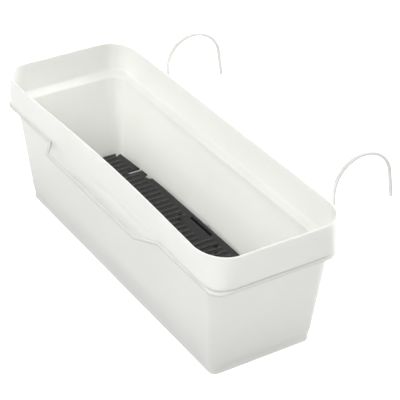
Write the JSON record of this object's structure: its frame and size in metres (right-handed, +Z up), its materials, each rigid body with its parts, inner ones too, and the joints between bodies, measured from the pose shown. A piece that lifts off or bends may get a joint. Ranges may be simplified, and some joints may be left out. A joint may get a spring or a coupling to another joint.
{
  "type": "self watering planter",
  "caption": "Long tapered balcony planter box with a stepped collar, a ribbed reservoir plate on legs over a water sump, felt wicks, an overflow plug and a wire hanger with railing hooks.",
  "frame": {"origin": "centre of the planter box's underside, on the surface it stands on", "axes": "+X along the box's long side, -Y the open front, +Y the railing side with the hooks, +Z up"},
  "size_m": [0.5, 0.2955, 0.1973],
  "materials": {
    "box_plastic": "off-white moulded polypropylene, satin",
    "plate_plastic": "anthracite moulded polypropylene, matt",
    "leg_plastic": "anthracite moulded polypropylene, matt",
    "wick_felt": "black synthetic felt",
    "plug_rubber": "pale grey soft rubber",
    "coated_wire": "white powder-coated steel wire"
  },
  "bodies": {
    "box": {"planter_box": "box_plastic"},
    "plate": {"reservoir_plate": "plate_plastic", "plate_leg_1": "leg_plastic", "plate_leg_2": "leg_plastic", "plate_leg_3": "leg_plastic", "plate_leg_4": "leg_plastic", "plate_leg_5": "leg_plastic", "plate_leg_6": "leg_plastic", "wick_front": "wick_felt", "wick_rear": "wick_felt"},
    "plug": {"overflow_plug": "plug_rubber"},
    "hanger": {"hanger_ring": "coated_wire", "hook_left": "coated_wire", "hook_right": "coated_wire"}
  },
  "joints": [
    {"name": "plate_lift", "type": "slide", "parent": "box", "child": "plate", "axis": [0, 0, 1], "range_m": [0, 0.16]},
    {"name": "plug_pull", "type": "slide", "parent": "box", "child": "plug", "axis": [0, 1, 0], "range_m": [0, 0.02]},
    {"name": "hanger_slide", "type": "slide", "parent": "box", "child": "hanger", "axis": [0, 0, 1], "range_m": [-0.115, 0]}
  ]
}
